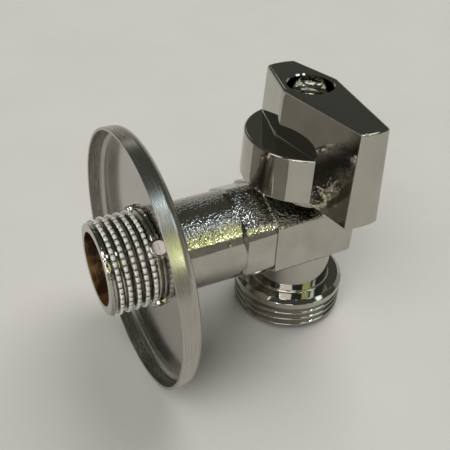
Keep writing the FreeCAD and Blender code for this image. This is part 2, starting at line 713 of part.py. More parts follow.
def make_escutcheon():
    body = new_body("escutcheon")
    inside, hole = "escutcheon_diameter / 2 - sheet_thickness", "rib_diameter / 2 + running_fit"
    sheet_metal = turned(body, "Revolution", "flange", "H_Axis", [
        ("-escutcheon_rim", "escutcheon_diameter / 2"),
        ("-escutcheon_face", "escutcheon_diameter / 2"),
        ("-escutcheon_face", hole),
        ("-escutcheon_face - sheet_thickness", hole),
        ("-escutcheon_face - sheet_thickness", inside),
        ("-escutcheon_rim", inside),
    ])
    outer = dress(body, "Fillet", "outer_bend", sheet_metal, outer_bend, "Radius", "escutcheon_bend_radius")
    dress(body, "Fillet", "inner_bend", outer, inner_bend, "Radius", "escutcheon_bend_radius - sheet_thickness")
    return body


def make_nodes():
    washer_hole = "stem_diameter + 2 * washer_bore_gap"
    return [
        make_body(),
        make_seat("back_seat", "seat_front"),
        make_ball(),
        make_seat("inlet_seat", "-seat_reach"),
        make_retainer(),
        make_stem(),
        ring("thrust_washer", "washer_diameter", washer_hole, "gland_bore_level", "washer_thickness"),
        ring("gland_packing", "washer_diameter", washer_hole, COLLAR_TOP, "packing_thickness"),
        make_gland_nut(),
        make_stem_ring("stem_ring_lower", "ring_lower_level"),
        make_stem_ring("stem_ring_upper", "ring_upper_level"),
        make_handle(),
        make_screw(),
        make_spring_washer(),
        make_escutcheon(),
    ]


def check(nodes):
    """Stop before anything is written if a feature failed or a shape isn't sound."""
    failed = [item.Name for item in doc.Objects if "Invalid" in item.State or "Error" in item.State]
    if failed:
        raise RuntimeError(f"features that failed: {failed}")
    for node in nodes:
        if node.Shape.isNull() or not node.Shape.isValid() or not node.Shape.Solids:
            raise RuntimeError(f"{node.Label} has no sound shape")


nodes = make_nodes()
doc.recompute()
check(nodes)
os.makedirs("parts", exist_ok=True)
for node in nodes:
    node.Shape.exportStep(f"parts/{node.Label}.step")
    print(node.Label, len(node.Shape.Solids), round(node.Shape.Volume, 1), node.Shape.BoundBox)
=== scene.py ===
import math

import bmesh
import bpy
from bpy.props import FloatProperty, FloatVectorProperty, IntProperty, PointerProperty
from mathutils import Matrix, Vector


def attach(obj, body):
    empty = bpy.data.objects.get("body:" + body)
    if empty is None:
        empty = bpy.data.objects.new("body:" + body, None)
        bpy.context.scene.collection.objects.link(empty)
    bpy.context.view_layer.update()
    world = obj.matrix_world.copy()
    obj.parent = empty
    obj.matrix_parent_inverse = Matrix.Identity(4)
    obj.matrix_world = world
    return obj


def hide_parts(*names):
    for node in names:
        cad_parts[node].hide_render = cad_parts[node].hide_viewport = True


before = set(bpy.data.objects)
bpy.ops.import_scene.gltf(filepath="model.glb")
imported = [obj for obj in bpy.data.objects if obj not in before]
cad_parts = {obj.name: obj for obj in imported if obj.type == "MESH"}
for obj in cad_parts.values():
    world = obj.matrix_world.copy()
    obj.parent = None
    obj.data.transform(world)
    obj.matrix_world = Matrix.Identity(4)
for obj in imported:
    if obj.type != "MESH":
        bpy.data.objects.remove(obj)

bl_info = {
    "name": "Washing machine valve",
    "version": (1, 0, 0),
    "blender": (4, 5, 0),
    "location": "View3D > Sidebar > Valve",
    "description": "Dresses the quarter-turn angle valve in its forged, plated and turned surfaces",
    "category": "Object",
}

# The pieces' sizes and places are in mm, and MM makes them metres. Properties, materials and the
# floor's own size are in metres. The inlet's axis is X, the outlet's and the handle's axis is Z,
# and both cross at the origin.

MM = 0.001
AXES = {"x": Vector((1, 0, 0)), "y": Vector((0, 1, 0)), "z": Vector((0, 0, 1))}
ROUND_STEPS = 144
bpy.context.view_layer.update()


# Numbers and outlines

def unit(value):
    """A value kept between 0 and 1."""
    return max(0.0, min(1.0, value))


def section(corners, steps=5):
    """A closed section's points. A corner's third number rounds it."""
    points = []
    for i, corner in enumerate(corners):
        here = Vector(corner[:2])
        if len(corner) == 2:
            points.append(here)
            continue
        before = (Vector(corners[i - 1][:2]) - here).normalized()
        after = (Vector(corners[(i + 1) % len(corners)][:2]) - here).normalized()
        half = before.angle(after) / 2
        centre = here + (before + after).normalized() * corner[2] / math.sin(half)
        start = here + before * corner[2] / math.tan(half) - centre
        end = here + after * corner[2] / math.tan(half) - centre
        first = math.atan2(start.y, start.x)
        turn = (math.atan2(end.y, end.x) - first + math.pi) % math.tau - math.pi
        for k in range(steps + 1):
            angle = first + turn * k / steps
            points.append(centre + Vector((math.cos(angle), math.sin(angle))) * corner[2])
    return points


def grown(outline, distance):
    """An outline moved outwards by a distance; its corners run counter-clockwise."""
    out = []
    for i, here in enumerate(outline):
        before = (here - outline[i - 1]).normalized()
        after = (outline[(i + 1) % len(outline)] - here).normalized()
        side = [Vector((d.y, -d.x)) for d in (before, after)]
        out.append(here + (side[0] + side[1]) * distance / (1 + side[0].dot(side[1])))
    return out


def arc(centre, radius, start, end, steps):
    """Points on a circle between two directions, in degrees."""
    angles = [math.radians(start + (end - start) * k / steps) for k in range(steps + 1)]
    return [Vector(centre) + Vector((math.cos(a), math.sin(a))) * radius for a in angles]


def ring_sector(inner, outer, start, width):
    """The outline of a stop: a part of a ring, from a direction on, in degrees."""
    return arc((0, 0), outer, start, start + width, 8) + arc((0, 0), inner, start + width, start, 8)


def hexagon(across):
    """Six corners with ridges up and down."""
    radius = across / 2 / math.cos(math.pi / 6)
    angles = [math.radians(a) for a in range(30, 390, 60)]
    return [Vector((math.cos(a), math.sin(a))) * radius for a in angles]


# Meshes

def deselect():
    if bpy.context.object and bpy.context.object.mode != "OBJECT":
        bpy.ops.object.mode_set(mode="OBJECT")
    bpy.ops.object.select_all(action="DESELECT")


def activate(piece):
    deselect()
    piece.select_set(True)
    bpy.context.view_layer.objects.active = piece


def enter(piece, kind="VERT", select="SELECT"):
    """Edit mode, with everything or nothing selected."""
    activate(piece)
    bpy.ops.object.mode_set(mode="EDIT")
    bpy.ops.mesh.select_mode(type=kind)
    bpy.ops.mesh.select_all(action=select)


def leave():
    bpy.ops.object.mode_set(mode="OBJECT")


def mesh_piece(name, points, edges=(), faces=()):
    mesh = bpy.data.meshes.new(name)
    mesh.from_pydata([Vector(point) * MM for point in points], edges, faces)
    piece = bpy.data.objects.new(name, mesh)
    bpy.context.collection.objects.link(piece)
    return piece


def weld(piece):
    enter(piece)
    bpy.ops.mesh.remove_doubles(threshold=2e-6)
    bpy.ops.mesh.normals_make_consistent(inside=False)
    leave()


def lathe(name, corners, axis, steps=ROUND_STEPS, fillet_steps=5):
    """A section of (along, radius) corners, spun about an axis."""
    points = section(corners, fillet_steps)
    count = len(points)
    solid = abs(points[0].y) < 1e-9 and abs(points[-1].y) < 1e-9
    edges = [(i, (i + 1) % count) for i in range(count - 1 if solid else count)]
    places = [(p.x, p.y, 0) if axis == "x" else (p.y, 0, p.x) for p in points]
    piece = mesh_piece(name, places, edges)
    enter(piece)
    bpy.ops.mesh.spin(steps=steps, angle=math.tau, center=(0, 0, 0), axis=AXES[axis])
    leave()
    weld(piece)
    return piece


def prism(name, outline, low, high, axis="z", spread=0.0):
    """An outline drawn at high and extruded to low, where it is wider by spread."""
    def place(point, level):
        return (point.x, point.y, level) if axis == "z" else (level, point.x, point.y)

    outline = [Vector(point) for point in outline]
    count = len(outline)
    piece = mesh_piece(name, [place(p, high) for p in outline], faces=[tuple(range(count))])
    enter(piece, "FACE")
    bpy.ops.mesh.extrude_region_move(TRANSFORM_OT_translate={"value": AXES[axis] * (low - high) * MM})
    leave()
    if spread:
        wider = grown(outline, spread)
        moved = [v for v in piece.data.vertices if abs(getattr(v.co, axis) / MM - low) < 1e-4]
        for vertex in moved:
            here = vertex.co / MM
            near = min(range(count), key=lambda k: (Vector(place(outline[k], low)) - here).length)
            vertex.co = Vector(place(wider[near], low)) * MM
    weld(piece)
    return piece


def apply(piece, kind, **settings):
    """Add a modifier and apply it."""
    modifier = piece.modifiers.new(kind.lower(), kind)
    for name, value in settings.items():
        setattr(modifier, name, value)
    activate(piece)
    bpy.ops.object.modifier_apply(modifier=modifier.name)


def join_flats(piece):
    """Make one face of each group of faces that lie in a plane."""
    enter(piece)
    bpy.ops.mesh.dissolve_limited(angle_limit=0.005)
    leave()


def combine(piece, tools, operation):
    for tool in tools:
        apply(piece, "BOOLEAN", operation=operation, solver="EXACT", object=tool)
        bpy.data.objects.remove(tool)


def turn_about_x(piece, degrees):
    piece.data.transform(Matrix.Rotation(math.radians(degrees), 4, "X"))


def edge_at(axis, level):
    """A test for bevel: both ends of an edge lie at a level of an axis."""
    def test(a, b):
        return all(abs(getattr(end, axis) - level) < 0.01 for end in (a, b))
    return test


def edge_along(axis):
    """A test for bevel: an edge runs more than 5 mm along an axis."""
    def test(a, b):
        return abs(getattr(a, axis) - getattr(b, axis)) > 5
    return test


def bevel(piece, test, width, segments=4, clamp=True):
    """Round the edges whose two ends, in mm, pass a test."""
    enter(piece, "EDGE", "DESELECT")
    mesh = bmesh.from_edit_mesh(piece.data)
    for edge in mesh.edges:
        edge.select_set(test(*[v.co / MM for v in edge.verts]))
    bmesh.update_edit_mesh(piece.data)
    bpy.ops.mesh.bevel(offset=width * MM, segments=segments, affect="EDGES", clamp_overlap=clamp)
    leave()


def paint(piece, rules):
    """Give each face the number of the first rule that all its corners, in mm, pass."""
    places = [vertex.co / MM for vertex in piece.data.vertices]
    for face in piece.data.polygons:
        corners = [places[i] for i in face.vertices]
        face.material_index = next((number for number, rule in rules if all(map(rule, corners))), 0)


def finish(piece, body, node, materials, rules=(), sharp=24, weighted=True):
    """Shading, materials and the piece's place in the frame."""
    piece.data.materials.clear()
    for material in materials:
        piece.data.materials.append(material)
    paint(piece, rules)
    activate(piece)
    bpy.ops.object.shade_smooth_by_angle(angle=math.radians(sharp))
    if weighted:
        apply(piece, "WEIGHTED_NORMAL", keep_sharp=True, weight=60)
    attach(piece, body)
    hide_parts(node)


# Materials

class Nodes:
    """Builds one material's nodes."""

    def __init__(self, name):
        self.material = bpy.data.materials.new(name)
        self.material.use_nodes = True
        self.tree = self.material.node_tree
        self.shader = self.tree.nodes["Principled BSDF"]
        self.place = self.add("ShaderNodeTexCoord").outputs["Object"]

    def add(self, kind, links=None, **settings):
        node = self.tree.nodes.new(kind)
        for key, value in settings.items():
            if hasattr(node, key):
                setattr(node, key, value)
            else:
                node.inputs[key.title()].default_value = value
        for key, socket in (links or {}).items():
            self.tree.links.new(socket, node.inputs[key])
        return node

    def link(self, socket, name):
        self.tree.links.new(socket, self.shader.inputs[name])

    def noise(self, scale, detail=2.0, place=None, roughness=0.5):
        node = self.add("ShaderNodeTexNoise", {"Vector": place or self.place},
                        scale=scale, detail=detail, roughness=roughness)
        return node.outputs["Fac"]

    def compute(self, operation, first, second=None):
        """A sum, product or other operation on sockets and numbers."""
        node = self.add("ShaderNodeMath", operation=operation)
        for i, item in enumerate((first, second)):
            if item is None:
                continue
            if isinstance(item, (int, float)):
                node.inputs[i].default_value = item
            else:
                self.tree.links.new(item, node.inputs[i])
        return node.outputs[0]

    def ramp(self, socket, stops):
        node = self.add("ShaderNodeValToRGB", {"Fac": socket})
        for element, (at, colour) in zip(node.color_ramp.elements, stops):
            element.position = at
            element.color = (*colour, 1.0)
        return node.outputs["Color"]

    def remap(self, socket, low, high, to_low, to_high, smooth=False):
        node = self.add("ShaderNodeMapRange", {"Value": socket})
        node.interpolation_type = "SMOOTHSTEP" if smooth else "LINEAR"
        limits = {"From Min": low, "From Max": high, "To Min": to_low, "To Max": to_high}
        for name, value in limits.items():
            node.inputs[name].default_value = value
        return node.outputs["Result"]

    def bump(self, height, distance, strength=1.0, before=None):
        node = self.add("ShaderNodeBump", {"Height": height}, distance=distance)
        if isinstance(strength, (int, float)):
            node.inputs["Strength"].default_value = strength
        else:
            self.tree.links.new(strength, node.inputs["Strength"])
        if before:
            self.tree.links.new(before, node.inputs["Normal"])
        return node.outputs["Normal"]

    def split(self):
        """The place's X, Y and Z."""
        return self.add("ShaderNodeSeparateXYZ", {"Vector": self.place}).outputs


def started(name, metallic):
    nodes = Nodes(name)
    nodes.shader.inputs["Metallic"].default_value = metallic
    return nodes


def tinted(nodes, colour, spread, scale):
    """A colour that varies a little over the surface."""
    low = [c * (1 - spread) for c in colour]
    high = [min(1.0, c * (1 + spread)) for c in colour]
    return nodes.ramp(nodes.noise(scale, 3.0), [(0.3, low), (0.7, high)])


def plated(name, colour, roughness=0.05, haze=0.03, ripple=0.00001, metallic=1.0):
    """Bright plating on a polished surface."""
    nodes = started(name, metallic)
    nodes.link(tinted(nodes, colour, 0.06, 160.0), "Base Color")
    nodes.link(nodes.remap(nodes.noise(420.0, 4.0), 0.3, 0.75, roughness, roughness + haze), "Roughness")
    wave = nodes.bump(nodes.noise(170.0), ripple * 8, 0.5)
    nodes.link(nodes.bump(nodes.noise(2600.0), ripple, 0.35, wave), "Normal")
    return nodes.material


def plated_forging(name, colour):
    """Plating on a forging: polished towards both side flats, grainy above and below."""
    nodes = started(name, 1.0)
    nodes.link(tinted(nodes, colour, 0.10, 220.0), "Base Color")
    height = nodes.compute("ABSOLUTE", nodes.split()["Z"])
    rough = nodes.remap(height, 0.0050, 0.0066, 0.04, 1.0, smooth=True)
    nodes.link(nodes.remap(nodes.noise(900.0, 3.0), 0.3, 0.8, 0.05, 0.12), "Roughness")
    grain = nodes.add("ShaderNodeTexVoronoi", {"Vector": nodes.place}, scale=1900.0)
    fine = nodes.compute("ADD", nodes.compute("MULTIPLY", nodes.noise(1500.0), 0.7),
                         nodes.compute("MULTIPLY", grain.outputs["Distance"], 0.4))
    wave = nodes.bump(nodes.noise(260.0), 0.00012, 0.5)
    nodes.link(nodes.bump(fine, 0.00017, rough, wave), "Normal")
    return nodes.material


def raw_brass(name, colour, dark):
    """Bare machined brass, stained brown, with turning marks."""
    nodes = started(name, 0.8)
    stain = nodes.noise(200.0, 5.0, roughness=0.65)
    nodes.link(nodes.ramp(stain, [(0.42, dark), (0.66, colour)]), "Base Color")
    nodes.link(nodes.remap(nodes.noise(700.0, 4.0), 0.3, 0.75, 0.28, 0.5), "Roughness")
    drawn_out = nodes.add("ShaderNodeMapping", {"Vector": nodes.place}, scale=(5.0, 0.3, 0.3))
    lines = nodes.noise(420.0, 3.0, drawn_out.outputs["Vector"])
    nodes.link(nodes.bump(lines, 0.00012, 0.9), "Normal")
    return nodes.material


def turned_steel(name, colour):
    """Thin stainless sheet: faint circular brushing, and a duller wall than its face."""
    nodes = started(name, 1.0)
    x, y, z = nodes.split()
    squares = [nodes.compute("MULTIPLY", side, side) for side in (y, z)]
    radius = nodes.compute("SQRT", nodes.compute("ADD", *squares))
    turn = nodes.compute("ARCTAN2", y, z)
    rings = nodes.add("ShaderNodeCombineXYZ", {
        "X": nodes.compute("MULTIPLY", radius, 60.0),
        "Y": nodes.compute("MULTIPLY", turn, 0.02),
        "Z": nodes.compute("MULTIPLY", x, 20.0),
    })
    lines = nodes.noise(90.0, 3.0, rings.outputs["Vector"], 0.6)
    stain = nodes.noise(110.0, 4.0)
    halves = [nodes.compute("MULTIPLY", pattern, 0.5) for pattern in (lines, stain)]
    shade = nodes.compute("ADD", *halves)
    nodes.link(nodes.ramp(shade, [(0.3, [c * 0.78 for c in colour]), (0.7, colour)]), "Base Color")
    wall = nodes.remap(radius, 0.0256, 0.0270, 0.0, 0.13, smooth=True)
    nodes.link(nodes.compute("ADD", nodes.remap(lines, 0.3, 0.7, 0.09, 0.18), wall), "Roughness")
    nodes.link(nodes.bump(lines, 0.000007, 0.8), "Normal")
    return nodes.material


def plain_metal(name, colour, roughness):
    """Machined metal of an inner piece."""
    nodes = started(name, 1.0)
    nodes.link(tinted(nodes, colour, 0.1, 500.0), "Base Color")
    nodes.link(nodes.remap(nodes.noise(1200.0, 3.0), 0.3, 0.75, roughness, roughness + 0.14), "Roughness")
    nodes.link(nodes.bump(nodes.noise(2400.0), 0.00003, 0.5), "Normal")
    return nodes.material


def plain_solid(name, colour, roughness):
    """Plastic or rubber of an inner piece."""
    nodes = started(name, 0.0)
    nodes.link(tinted(nodes, colour, 0.07, 400.0), "Base Color")
    nodes.link(nodes.remap(nodes.noise(900.0, 3.0), 0.3, 0.75, roughness, roughness + 0.12), "Roughness")
    nodes.link(nodes.bump(nodes.noise(3000.0), 0.00003, 0.4), "Normal")
    return nodes.material


# What a user can change

class ValveThreads(bpy.types.PropertyGroup):
    pitch: FloatProperty(name="Pitch", description="Pitch of both pipe threads", default=0.001814,
                         min=0.001, max=0.003, precision=4, unit="LENGTH")
    depth: FloatProperty(name="Depth", description="Depth of both pipe threads", default=0.001162,
                         min=0.0005, max=0.0014, precision=4, unit="LENGTH")
    nicks: IntProperty(name="Knurl nicks", description="Nicks round each crest of the inlet's thread",
                       default=45, min=20, max=80)
    nick_depth: FloatProperty(name="Nick depth", description="How deep the knurl cuts the crests",
                              default=0.0005, min=0.0001, max=0.001, precision=4, unit="LENGTH")


class ValveFinishes(bpy.types.PropertyGroup):
    plating: FloatVectorProperty(name="Plating", description="Colour of the bright plating",
                                 subtype="COLOR", size=3, min=0.0, max=1.0, default=(0.445, 0.43, 0.385))
    brass: FloatVectorProperty(name="Brass", description="Bare brass of the bores",
                               subtype="COLOR", size=3, min=0.0, max=1.0, default=(0.55, 0.32, 0.11))
    flange: FloatVectorProperty(name="Flange", description="Stainless sheet of the wall flange",
                                subtype="COLOR", size=3, min=0.0, max=1.0, default=(0.50, 0.48, 0.44))
    floor: FloatVectorProperty(name="Floor", description="Colour of the floor",
                               subtype="COLOR", size=3, min=0.0, max=1.0, default=(0.66, 0.65, 0.62))


# Body

PIPE_START = -37.0
PIPE_RADIUS = 10.0
SLEEVE_ACROSS = 20.2
SLEEVE_START = -18.6
SLEEVE_END = -10.2
SLEEVE_RADIUS = 10.95
HEAD_ACROSS = 21.0
HEAD_START = -11.0
HEAD_END = 9.8
NECK_RADIUS = 9.6
SHOULDER_RADIUS = 10.6
SHOULDER_BOTTOM = -17.0
BOSS_RADIUS = 8.2
BOSS_TOP = 17.0
RIB_COUNT = 4
RIB_RADIUS = 1.9
RIB_TOP = 11.08
STOP_WIDTH = 24
DOT_RADIUS = 0.55
DOT_PLACE = Vector((-21.9, -8.95, 4.2))

INLET_BORE = 8.0
CHAMBER_RADIUS = 7.6
CHAMBER_REACH = 7.8
OUTLET_BORE = 7.5
OUTLET_BORE_LEVEL = -12.5
PASSAGE_RADIUS = 5.0
STEM_BORE = 4.05
GLAND_BORE = 7.0
GLAND_LEVEL = 9.6
BORE_MARGIN = 0.05


def make_sleeve():
    """The hexagonal part between pipe and head: sharp ridges up and down, round ones at its sides."""
    sleeve = prism("sleeve", hexagon(SLEEVE_ACROSS), SLEEVE_START, SLEEVE_END, "x")
    along = edge_along("x")

    def side_ridge(a, b):
        return along(a, b) and min(abs(a.y), abs(b.y)) > 4

    bevel(sleeve, side_ridge, 1.9, 6)
    bevel(sleeve, edge_at("x", SLEEVE_START), 0.7, 1)
    room = lathe("sleeve_round", [(-20, 0), (-20, SLEEVE_RADIUS), (-9, SLEEVE_RADIUS), (-9, 0)], "x")
    combine(sleeve, [room], "INTERSECT")
    return sleeve


def make_head():
    head = prism("head", hexagon(HEAD_ACROSS), HEAD_START, HEAD_END, "x")
    bevel(head, edge_along("x"), 0.577)
    bevel(head, edge_at("x", HEAD_END), 2.0, 6)
    bevel(head, edge_at("x", HEAD_START), 0.3, 3)
    return head


def make_ribs():
    """The ribs that centre the wall flange."""
    ribs = []
    outline = arc((-37.3, 0), RIB_RADIUS, 90, 270, 12) + arc((-35.0, 0), RIB_RADIUS, -90, 90, 12)
    for k in range(RIB_COUNT):
        rib = prism(f"rib_{k}", outline, 8.6, RIB_TOP)
        bevel(rib, edge_at("z", RIB_TOP), 0.5, 5)
        turn_about_x(rib, 45 + 360 / RIB_COUNT * k)
        ribs.append(rib)
    return ribs


def make_stops():
    """The two stops on the boss that end the lever's turn."""
    starts = {"closed_stop": 7.0, "open_stop": 149.0}
    return [prism(name, ring_sector(7.6, 9.8, start, STOP_WIDTH), 5.0, 15.5)
            for name, start in starts.items()]


def make_dot():
    """The small round mark on the pipe."""
    deselect()
    bpy.ops.mesh.primitive_uv_sphere_add(segments=16, ring_count=10, radius=DOT_RADIUS * MM)
    dot = bpy.context.object
    dot.data.transform(Matrix.Translation(DOT_PLACE * MM))
    return dot


def water_ways():
    inlet = lathe("inlet_way", [
        (-60, 0), (-60, INLET_BORE), (-CHAMBER_REACH, INLET_BORE),
        (-CHAMBER_REACH, CHAMBER_RADIUS), (CHAMBER_REACH, CHAMBER_RADIUS), (CHAMBER_REACH, 0),
    ], "x")
    outlet = lathe("outlet_way", [
        (0, 0), (0, PASSAGE_RADIUS), (OUTLET_BORE_LEVEL, PASSAGE_RADIUS),
        (OUTLET_BORE_LEVEL, OUTLET_BORE), (-40, OUTLET_BORE), (-40, 0),
    ], "z")
    stem = lathe("stem_way", [
        (0, 0), (0, STEM_BORE), (GLAND_LEVEL, STEM_BORE),
        (GLAND_LEVEL, GLAND_BORE), (40, GLAND_BORE), (40, 0),
    ], "z")
    return [inlet, outlet, stem]


def make_forging(materials):
    pipe = lathe("forging", [(PIPE_START, 0), (PIPE_START, PIPE_RADIUS), (2, PIPE_RADIUS), (2, 0)], "x")
    neck = lathe("neck", [
        (0, 0), (0, NECK_RADIUS), (-16.1, NECK_RADIUS, 0.7),
        (-16.1, SHOULDER_RADIUS), (SHOULDER_BOTTOM, SHOULDER_RADIUS), (SHOULDER_BOTTOM, 0),
    ], "z")
    boss = lathe("boss", [(0, 0), (0, BOSS_RADIUS), (BOSS_TOP, BOSS_RADIUS, 0.6), (BOSS_TOP, 0)], "z")
    joined = [make_sleeve(), make_head(), neck, boss, make_dot()] + make_ribs() + make_stops()
    combine(pipe, joined, "UNION")
    combine(pipe, water_ways(), "DIFFERENCE")
    weld(pipe)

    def bore(p):
        near_x = math.hypot(p.y, p.z) < INLET_BORE + BORE_MARGIN and p.x < 8.2
        near_z = math.hypot(p.x, p.y) < OUTLET_BORE + BORE_MARGIN and -24.4 < p.z < 16.9
        return near_x or near_z

    def polished(p):
        return p.z < -8.9 or p.z > 12.3 or p.x < -32.9

    def neck_wall(p):
        return p.z < -5.5 and math.hypot(p.x, p.y) < NECK_RADIUS + 0.1

    finish(pipe, "valve_body", "body", materials, [(2, bore), (1, polished), (1, neck_wall)])


# Threads

INLET_START = -48.2
INLET_THREAD_END = -36.6
INLET_CREST = 10.4775
KNURL_END = -38.5
OUTLET_END = -24.5
OUTLET_THREAD_TOP = -16.0
OUTLET_CREST = 13.2205
OUTLET_RIM_RADIUS = 12.25


def thread(name, axis, start, end, bore, profile, steps, pitch, crest_at, rule):
    """A threaded pipe between two places on an axis.

    It is spun from one pitch of its profile, with a crest at crest_at, and rule gives each
    point's radius.
    """
    first = crest_at - math.ceil((crest_at - start) / pitch + 1) * pitch
    turns = math.ceil((end - first) / pitch) + 2
    points = [(first + (u - 0.5) * pitch, r) for u, r in profile + [(1.0, profile[0][1])]]
    places = [(a, r, 0) if axis == "x" else (r, 0, a) for a, r in points]
    piece = mesh_piece(name, places, [(i, i + 1) for i in range(len(places) - 1)])
    apply(piece, "SCREW", axis=axis.upper(), angle=math.tau, steps=steps, render_steps=steps,
          screw_offset=pitch * MM, iterations=turns)
    weld(piece)
    shape(piece, axis, rule)
    for side in (-1, 1):
        close_end(piece, axis, (start + end) / 2, side)
    room = lathe("room", [(start, bore), (start, 20), (end, 20), (end, bore)], axis)
    combine(piece, [room], "INTERSECT")
    weld(piece)
    return piece


def close_end(piece, axis, middle, side):
    """Gather the open edges at one end into a single point."""
    enter(piece, "EDGE", "DESELECT")
    mesh = bmesh.from_edit_mesh(piece.data)
    for edge in mesh.edges:
        along = edge.verts[0].co.dot(AXES[axis]) / MM
        edge.select_set(edge.is_boundary and (along - middle) * side > 0)
    bmesh.update_edit_mesh(piece.data)
    bpy.ops.mesh.extrude_edges_move()
    bpy.ops.mesh.merge(type="CENTER")
    leave()
    weld(piece)


def shape(piece, axis, rule):
    """Move each point to the radius that a rule gives for its place along and round the axis."""
    for vertex in piece.data.vertices:
        p = vertex.co / MM
        along, across = (p.x, Vector((p.y, p.z))) if axis == "x" else (p.z, Vector((p.x, p.y)))
        across *= rule(along, math.atan2(across.y, across.x), across.length) / across.length
        vertex.co = Vector((along, *across) if axis == "x" else (*across, along)) * MM


def make_inlet_thread(materials):
    threads = bpy.context.scene.valve_threads
    depth, pitch, nick = threads.depth / MM, threads.pitch / MM, threads.nick_depth / MM
    root = INLET_CREST - depth
    flank = [(0.0, 0.0), (0.12, 0.01), (0.17, 0.10), (0.21, 0.40),
             (0.26, 0.70), (0.33, 0.88), (0.41, 0.97), (0.50, 1.0)]
    rise = flank + [(1.0 - u, s) for u, s in flank[-2:0:-1]]
    profile = [(u, root + depth * s) for u, s in rise]

    def beside(angle):
        """How far a direction lies from the nearest bead's middle: 0 on it, 1 between two."""
        return abs((angle * threads.nicks / math.tau) % 1.0 - 0.5) * 2

    def cut(along, angle, radius):
        """Knurl the crests, fill the thread's last turn and chamfer its start."""
        share = max(0.0, (radius - (INLET_CREST - depth * 0.6)) / (depth * 0.6))
        if along < KNURL_END:
            radius -= nick * share * beside(angle) ** 2
        radius = max(radius, root + unit((along + 38.7) / 0.9) * (10.22 - INLET_CREST + depth))
        radius = min(radius, INLET_CREST - 0.22 * unit((along + 38.9) / 0.7))
        return min(radius, 9.75 + max(0.0, along - INLET_START) * 0.72)

    piece = thread("inlet_thread", "x", INLET_START, INLET_THREAD_END, INLET_BORE, profile,
                   threads.nicks * 8, pitch, -47.03, cut)

    def bore(p):
        return math.hypot(p.y, p.z) < INLET_BORE + BORE_MARGIN

    # The bead tops, which get the brightened plating that paints their highlight.
    def bead(p):
        top = math.hypot(p.y, p.z) > INLET_CREST - 0.47 and -47.2 < p.x < KNURL_END + 0.1
        return top and beside(math.atan2(p.z, p.y)) < 0.8

    finish(piece, "valve_body", "body", materials, [(1, bore), (2, bead)],
           sharp=40, weighted=False)


def make_outlet_thread(materials):
    threads = bpy.context.scene.valve_threads
    depth, pitch = threads.depth / MM, threads.pitch / MM
    root = OUTLET_CREST - depth
    waves = [0.5 - 0.62 * math.cos(math.tau * k / 24) for k in range(24)]
    profile = [(k / 24, root + depth * unit(wave)) for k, wave in enumerate(waves)]

    def cut(along, angle, radius):
        """Fill the thread to a collar at its top and chamfer both ends."""
        radius = max(radius, root + unit((along + 18.75) / 0.6) * depth)
        radius = min(radius, OUTLET_RIM_RADIUS + max(0.0, along - OUTLET_END) * 1.02)
        return min(radius, 12.2 + max(0.0, OUTLET_THREAD_TOP - along) * 1.28)

    piece = thread("outlet_thread", "z", OUTLET_END, OUTLET_THREAD_TOP, OUTLET_BORE, profile,
                   ROUND_STEPS, pitch, -19.105, cut)

    def bore(p):
        return math.hypot(p.x, p.y) < OUTLET_BORE + BORE_MARGIN

    finish(piece, "valve_body", "body", materials, [(1, bore)], sharp=32)


# Handle. An end of the lever has a half width, a reach of its corners and a reach of its middle.

LEVER_TOP = 32.9
LEVER_BACK = (3.4, 12.0, 12.4)
LEVER_FRONT = (3.1, 22.1, 22.5)
LEVER_HALF_WIDTH = 6.65
LEVER_DRAFT = 2.5
DRUM_TOP = 22.3
HANDLE_BOTTOM = 12.2
SKIRT_RADIUS = 11.3
SKIRT_CEILING = 20.3
HUB_RADIUS = 6.3
HUB_BOTTOM = 18.0
SQUARE_HALF = 3.03


def lever_plan():
    """The lever's plan at its top, counter-clockwise, with bulging ends."""
    ends = []
    for (half, reach, bulge), sign in ((LEVER_BACK, 1), (LEVER_FRONT, -1)):
        rise = bulge - reach
        radius = (half * half + rise * rise) / (2 * rise)
        centre = (0, sign * (bulge - radius))
        spread = math.degrees(math.asin(half / radius))
        ends.append(arc(centre, radius, sign * 90 - spread, sign * 90 + spread, 6))
    back, front = ends
    return back + [Vector((-LEVER_HALF_WIDTH, 0))] + front + [Vector((LEVER_HALF_WIDTH, 0))]


def make_lever():
    spread = (LEVER_TOP - HANDLE_BOTTOM) * math.tan(math.radians(LEVER_DRAFT))
    lever = prism("lever", lever_plan(), HANDLE_BOTTOM, LEVER_TOP, spread=spread)
    widths = [LEVER_FRONT[0], LEVER_BACK[0], LEVER_HALF_WIDTH]
    widths += [width + spread for width in widths]
    along = edge_along("z")

    def upright(a, b):
        corner = min(abs(abs(a.x) - width) for width in widths) < 0.2
        ends = abs(a.y) > 11.8 or abs(a.y) < 0.1
        return along(a, b) and corner and ends

    bevel(lever, upright, 0.6, 5)
    bevel(lever, edge_at("z", LEVER_TOP), 0.6, 5)
    bevel(lever, edge_at("z", HANDLE_BOTTOM), 0.25, 3)
    return lever


def handle_hollows():
    """The skirt's inside, the arm's inside and the stepped hole for the screw."""
    skirt = lathe("skirt_hollow", [
        (0, 0), (0, SKIRT_RADIUS), (SKIRT_CEILING, SKIRT_RADIUS, 0.5),
        (SKIRT_CEILING, HUB_RADIUS, 0.3), (HUB_BOTTOM, HUB_RADIUS), (HUB_BOTTOM, 0),
    ], "z")
    arm = prism("arm_hollow", [(-2.97, -8.6), (-1.17, -19.8), (1.17, -19.8), (2.97, -8.6)], 5.0, 30.6)
    recess = lathe("recess", [
        (20, 0), (20, 2.2), (26.2, 2.2), (26.2, 4.8), (32.6, 4.8), (33.2, 5.4), (40, 5.4), (40, 0),
    ], "z")
    return [skirt, arm, recess]


